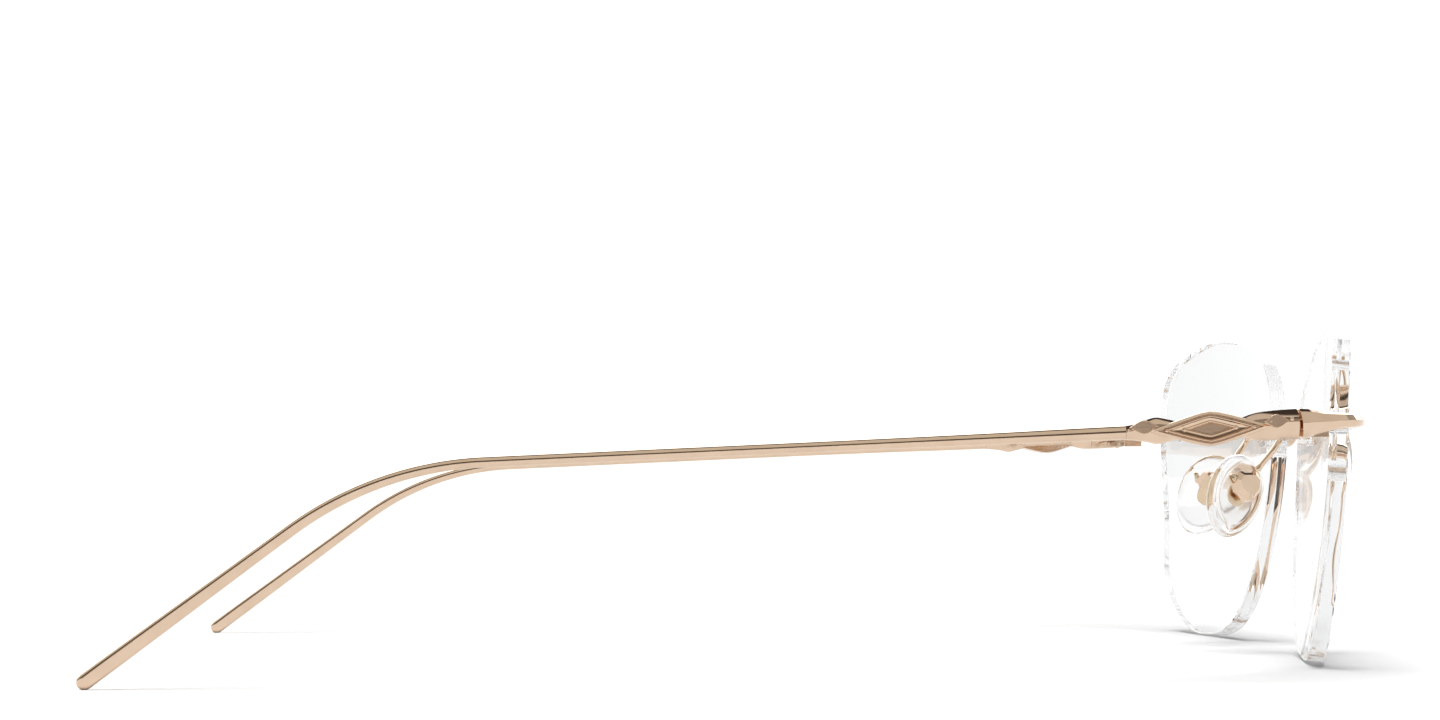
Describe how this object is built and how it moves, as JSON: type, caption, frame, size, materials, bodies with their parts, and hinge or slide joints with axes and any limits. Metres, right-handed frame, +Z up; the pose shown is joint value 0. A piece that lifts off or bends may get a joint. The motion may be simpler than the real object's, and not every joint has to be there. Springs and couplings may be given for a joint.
{
  "type": "rimless eyeglasses",
  "caption": "Open rimless eyeglasses: drilled clear lenses on a metal bridge and endpieces, with folding bent-wire temples and rocking nose pads.",
  "frame": {"origin": "on the table under the middle of the open glasses' box", "axes": "+X towards the wearer's left, +Y from the lenses back along the temples, +Z up"},
  "size_m": [0.1396, 0.146, 0.0399],
  "materials": {
    "frame_metal": "polished champagne-gold plating",
    "screw_metal": "bright plated small parts",
    "lens_plastic": "clear polished lens plastic",
    "bushing_plastic": "clear moulded bushing",
    "pad_silicone": "clear soft silicone, slightly satin"
  },
  "bodies": {
    "front": {"bridge": "frame_metal", "lens_left": "lens_plastic", "lens_right": "lens_plastic", "nose_bushing_left": "bushing_plastic", "nose_bushing_right": "bushing_plastic", "temple_bushing_left": "bushing_plastic", "temple_bushing_right": "bushing_plastic", "endpiece_left": "frame_metal", "endpiece_right": "frame_metal", "front_hinge_leaf_left": "frame_metal", "front_hinge_leaf_right": "frame_metal", "hinge_screw_left": "screw_metal", "hinge_screw_right": "screw_metal", "pad_arm_left": "frame_metal", "pad_arm_right": "frame_metal", "pad_box_left": "frame_metal", "pad_box_right": "frame_metal", "pad_screw_left": "screw_metal", "pad_screw_right": "screw_metal"},
    "temple_left": {"temple_hinge_leaf_left": "frame_metal", "temple_ornament_left": "frame_metal", "temple_wire_left": "frame_metal"},
    "temple_right": {"temple_hinge_leaf_right": "frame_metal", "temple_ornament_right": "frame_metal", "temple_wire_right": "frame_metal"},
    "pad_left": {"pad_core_left": "screw_metal", "nose_pad_left": "pad_silicone"},
    "pad_right": {"pad_core_right": "screw_metal", "nose_pad_right": "pad_silicone"}
  },
  "joints": [
    {"name": "temple_left_fold", "type": "hinge", "parent": "front", "child": "temple_left", "pos_m": [0.06505, -0.05706, 0.0271], "axis": [0, 0, 1], "range_deg": [0, 84]},
    {"name": "temple_right_fold", "type": "hinge", "parent": "front", "child": "temple_right", "pos_m": [-0.06505, -0.05706, 0.0271], "axis": [0, 0, -1], "range_deg": [0, 90]},
    {"name": "nose_pad_left_rock", "type": "hinge", "parent": "front", "child": "pad_left", "pos_m": [0.01114, -0.06184, 0.02128], "axis": [0.4226, 0.9063, 0], "range_deg": [-6, 6]},
    {"name": "nose_pad_right_rock", "type": "hinge", "parent": "front", "child": "pad_right", "pos_m": [-0.01114, -0.06184, 0.02128], "axis": [-0.4226, 0.9063, 0], "range_deg": [-6, 6]}
  ]
}
